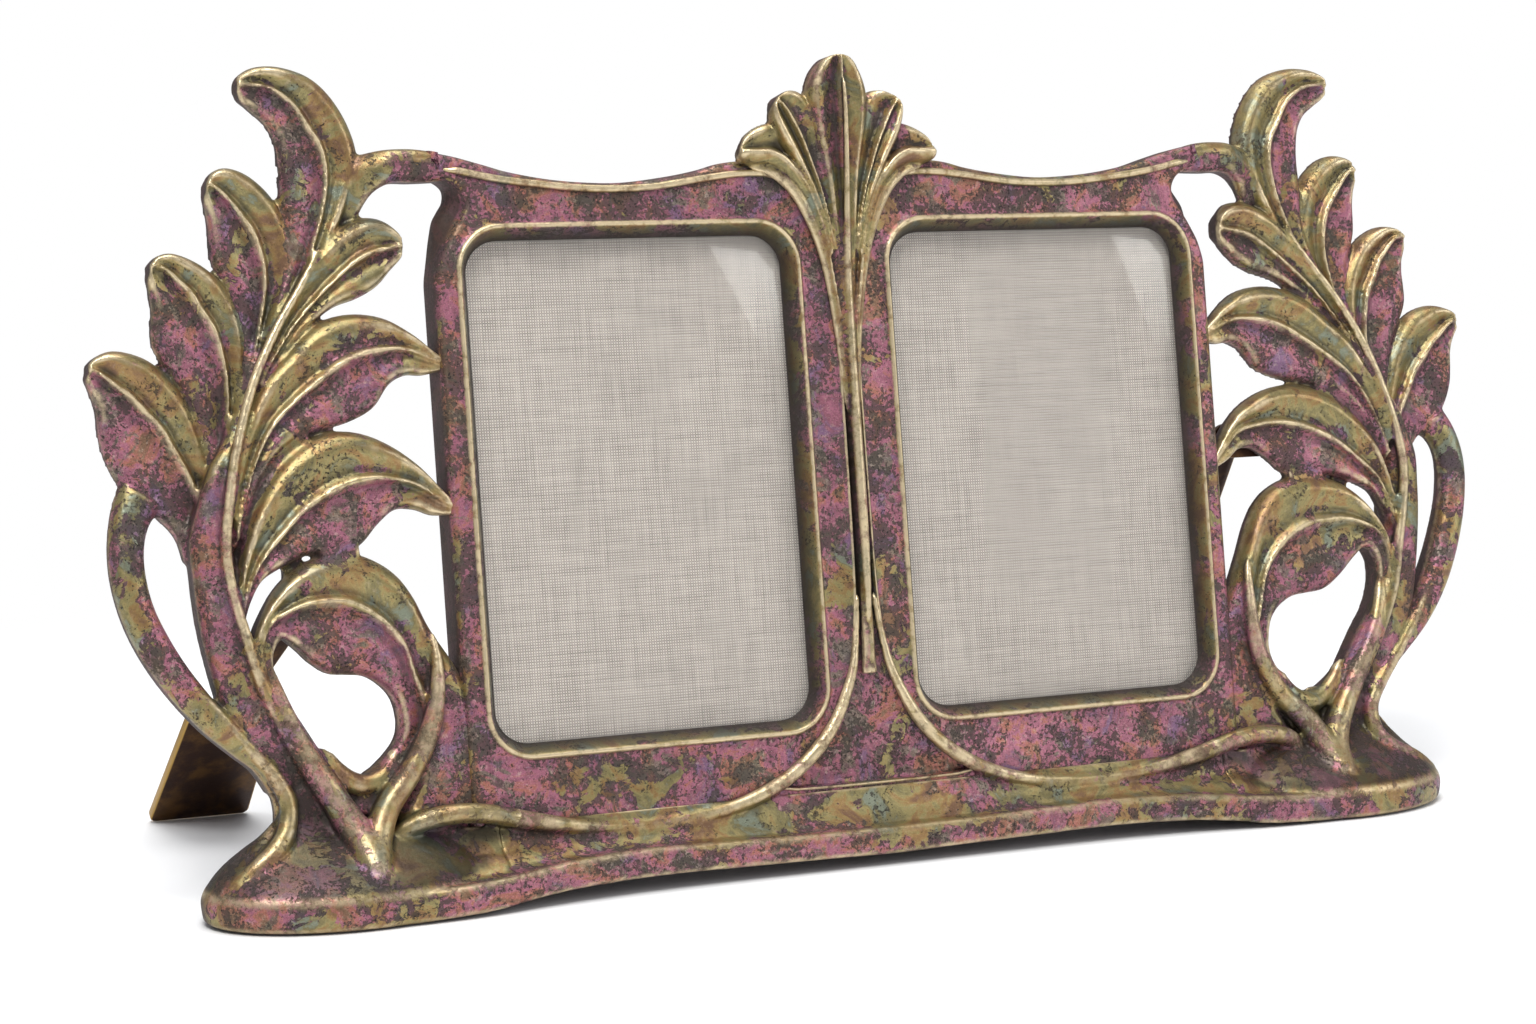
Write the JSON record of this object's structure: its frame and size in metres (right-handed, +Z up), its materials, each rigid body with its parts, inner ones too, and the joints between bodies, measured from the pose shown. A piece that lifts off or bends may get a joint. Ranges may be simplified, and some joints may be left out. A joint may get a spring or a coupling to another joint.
{
  "type": "double photo frame",
  "caption": "Leaning double photo frame in patinated cast metal: upright windows side by side, leaf wings, palmette crest, footed base and folding easel legs.",
  "frame": {"origin": "on the floor, in the middle of the width and of the depth from the feet to the open legs", "axes": "+X to the right as seen from the front, +Y from the front to the back, +Z up"},
  "size_m": [0.3728, 0.1368, 0.1951],
  "materials": {
    "casting": "cast bronze with a mottled rose, olive and green patina, edges rubbed bright",
    "leg_metal": "dark brown patina with rubbed edges",
    "hardware": "aged, satin",
    "glass": "polished, clear",
    "linen": "plain weave, matte",
    "packing_board": "raw",
    "back_board": "dark stained",
    "felt": "pressed felt"
  },
  "bodies": {
    "frame": {"front_frame": "casting", "crest": "casting", "left_wing": "casting", "right_wing": "casting", "base": "casting", "left_glass": "glass", "right_glass": "glass", "left_card": "linen", "right_card": "linen", "left_packing": "packing_board", "right_packing": "packing_board", "left_back_board": "back_board", "right_back_board": "back_board", "turn_button_screws": "hardware", "left_leg_bracket": "leg_metal", "right_leg_bracket": "leg_metal", "bracket_screws": "hardware", "left_leg_pin": "hardware", "right_leg_pin": "hardware", "foot_pads": "felt"},
    "left_turn_button_1": {"left_turn_button_1": "hardware"},
    "left_turn_button_2": {"left_turn_button_2": "hardware"},
    "left_turn_button_3": {"left_turn_button_3": "hardware"},
    "left_turn_button_4": {"left_turn_button_4": "hardware"},
    "right_turn_button_1": {"right_turn_button_1": "hardware"},
    "right_turn_button_2": {"right_turn_button_2": "hardware"},
    "right_turn_button_3": {"right_turn_button_3": "hardware"},
    "right_turn_button_4": {"right_turn_button_4": "hardware"},
    "left_leg": {"left_leg": "leg_metal"},
    "right_leg": {"right_leg": "leg_metal"}
  },
  "joints": [
    {"name": "left_turn_button_1_spin", "type": "hinge", "parent": "frame", "child": "left_turn_button_1", "pos_m": [-0.03, -0.01915, 0.1586], "axis": [0, 0.9874, -0.1582], "continuous": true},
    {"name": "left_turn_button_2_spin", "type": "hinge", "parent": "frame", "child": "left_turn_button_2", "pos_m": [-0.082, -0.01915, 0.1586], "axis": [0, 0.9874, -0.1582], "continuous": true},
    {"name": "left_turn_button_3_spin", "type": "hinge", "parent": "frame", "child": "left_turn_button_3", "pos_m": [-0.03, -0.0405, 0.0253], "axis": [0, 0.9874, -0.1582], "continuous": true},
    {"name": "left_turn_button_4_spin", "type": "hinge", "parent": "frame", "child": "left_turn_button_4", "pos_m": [-0.082, -0.0405, 0.0253], "axis": [0, 0.9874, -0.1582], "continuous": true},
    {"name": "right_turn_button_1_spin", "type": "hinge", "parent": "frame", "child": "right_turn_button_1", "pos_m": [0.03, -0.01915, 0.1586], "axis": [0, 0.9874, -0.1582], "continuous": true},
    {"name": "right_turn_button_2_spin", "type": "hinge", "parent": "frame", "child": "right_turn_button_2", "pos_m": [0.082, -0.01915, 0.1586], "axis": [0, 0.9874, -0.1582], "continuous": true},
    {"name": "right_turn_button_3_spin", "type": "hinge", "parent": "frame", "child": "right_turn_button_3", "pos_m": [0.03, -0.0405, 0.0253], "axis": [0, 0.9874, -0.1582], "continuous": true},
    {"name": "right_turn_button_4_spin", "type": "hinge", "parent": "frame", "child": "right_turn_button_4", "pos_m": [0.082, -0.0405, 0.0253], "axis": [0, 0.9874, -0.1582], "continuous": true},
    {"name": "left_leg_fold", "type": "hinge", "parent": "frame", "child": "left_leg", "pos_m": [-0.118, -0.02807, 0.09471], "axis": [-1, 0, 0], "range_deg": [0, 43]},
    {"name": "right_leg_fold", "type": "hinge", "parent": "frame", "child": "right_leg", "pos_m": [0.118, -0.02807, 0.09471], "axis": [-1, 0, 0], "range_deg": [0, 43]}
  ]
}
